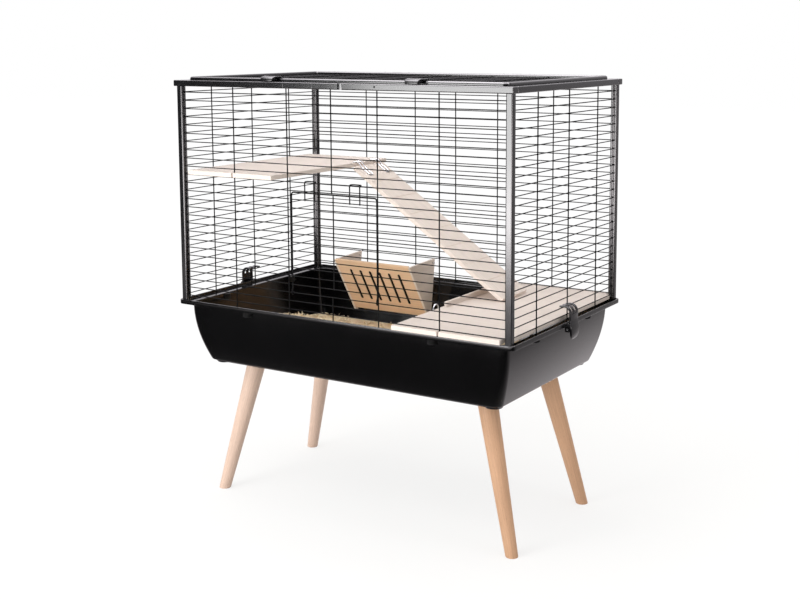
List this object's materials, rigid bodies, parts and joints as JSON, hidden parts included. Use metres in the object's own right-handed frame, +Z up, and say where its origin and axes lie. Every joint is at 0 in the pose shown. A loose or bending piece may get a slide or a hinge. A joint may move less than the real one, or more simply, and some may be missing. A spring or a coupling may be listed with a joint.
{
  "type": "small animal cage",
  "caption": "Wire cage for a small animal on a deep tray with splayed wooden legs, hinged door and roof, shelf, ramp, platform and hay rack",
  "frame": {"origin": "on the floor, under the middle of the cage", "axes": "+X to the right along the front, +Y from the front to the back, +Z up"},
  "size_m": [0.8252, 0.494, 0.9068],
  "materials": {
    "black_plastic": "moulded, satin",
    "black_profile": "extruded, glossy",
    "black_wire": "powder coated",
    "turned_beech": "turned, clear lacquer",
    "pale_board": "sanded board",
    "rack_board": "sanded board",
    "wood_litter": "loose shavings",
    "bright_zinc": "galvanised"
  },
  "bodies": {
    "cage": {"base_tray": "black_plastic", "litter_bed": "wood_litter", "leg_socket_fl": "black_plastic", "leg_socket_fr": "black_plastic", "leg_socket_bl": "black_plastic", "leg_socket_br": "black_plastic", "leg_fl": "turned_beech", "leg_fr": "turned_beech", "leg_bl": "turned_beech", "leg_br": "turned_beech", "leg_bolts": "bright_zinc", "corner_post_fl": "black_profile", "corner_post_fr": "black_profile", "corner_post_bl": "black_profile", "corner_post_br": "black_profile", "top_rail_front_left": "black_profile", "top_rail_front_right": "black_profile", "top_rail_back_left": "black_profile", "top_rail_back_right": "black_profile", "top_rail_side_left": "black_profile", "top_rail_side_right": "black_profile", "rail_joiner_front": "bright_zinc", "rail_joiner_back": "bright_zinc", "front_grille_left": "black_wire", "front_grille_right": "black_wire", "front_grille_upper": "black_wire", "front_grille_lower": "black_wire", "back_grille": "black_wire", "side_grille_left": "black_wire", "side_grille_right": "black_wire", "roof_hinge_lugs": "black_profile", "roof_hinge_pins": "bright_zinc", "clip_bracket_left": "black_plastic", "clip_bracket_right": "black_plastic", "clip_pins": "bright_zinc", "shelf_board": "pale_board", "platform_board": "pale_board", "platform_batten": "pale_board", "platform_loop": "bright_zinc", "rack_front": "rack_board", "rack_side_left": "rack_board", "rack_side_right": "rack_board", "rack_hooks": "bright_zinc"},
    "door": {"front_door": "black_wire", "door_hooks": "black_wire"},
    "roof": {"roof_frame": "black_profile", "roof_grille": "black_wire", "roof_hinge_tabs": "black_profile", "latch_lugs": "black_profile", "latch_pins": "bright_zinc"},
    "latch_left": {"roof_latch_left": "black_plastic"},
    "latch_right": {"roof_latch_right": "black_plastic"},
    "clip_left": {"side_clip_left": "black_plastic"},
    "clip_right": {"side_clip_right": "black_plastic"},
    "ramp": {"ramp_board": "pale_board", "ramp_hooks": "bright_zinc"}
  },
  "joints": [
    {"name": "door_hinge", "type": "hinge", "parent": "cage", "child": "door", "pos_m": [0.002, -0.23655, 0.47725], "axis": [1, 0, 0], "range_deg": [0, 155]},
    {"name": "roof_hinge", "type": "hinge", "parent": "cage", "child": "roof", "pos_m": [0, 0.236, 0.9006], "axis": [-1, 0, 0], "range_deg": [0, 100]},
    {"name": "latch_left_pivot", "type": "hinge", "parent": "roof", "child": "latch_left", "pos_m": [-0.153, -0.219, 0.9036], "axis": [-1, 0, 0], "range_deg": [0, 100]},
    {"name": "latch_right_pivot", "type": "hinge", "parent": "roof", "child": "latch_right", "pos_m": [0.185, -0.219, 0.9036], "axis": [-1, 0, 0], "range_deg": [0, 100]},
    {"name": "clip_left_pivot", "type": "hinge", "parent": "cage", "child": "clip_left", "pos_m": [-0.4046, -0.007, 0.421], "axis": [0, -1, 0], "range_deg": [0, 60]},
    {"name": "clip_right_pivot", "type": "hinge", "parent": "cage", "child": "clip_right", "pos_m": [0.4046, -0.007, 0.421], "axis": [0, 1, 0], "range_deg": [0, 60]},
    {"name": "ramp_hinge", "type": "hinge", "parent": "cage", "child": "ramp", "pos_m": [-0.15215, 0.092, 0.71171], "axis": [0, -1, 0], "range_deg": [0, 35]}
  ]
}
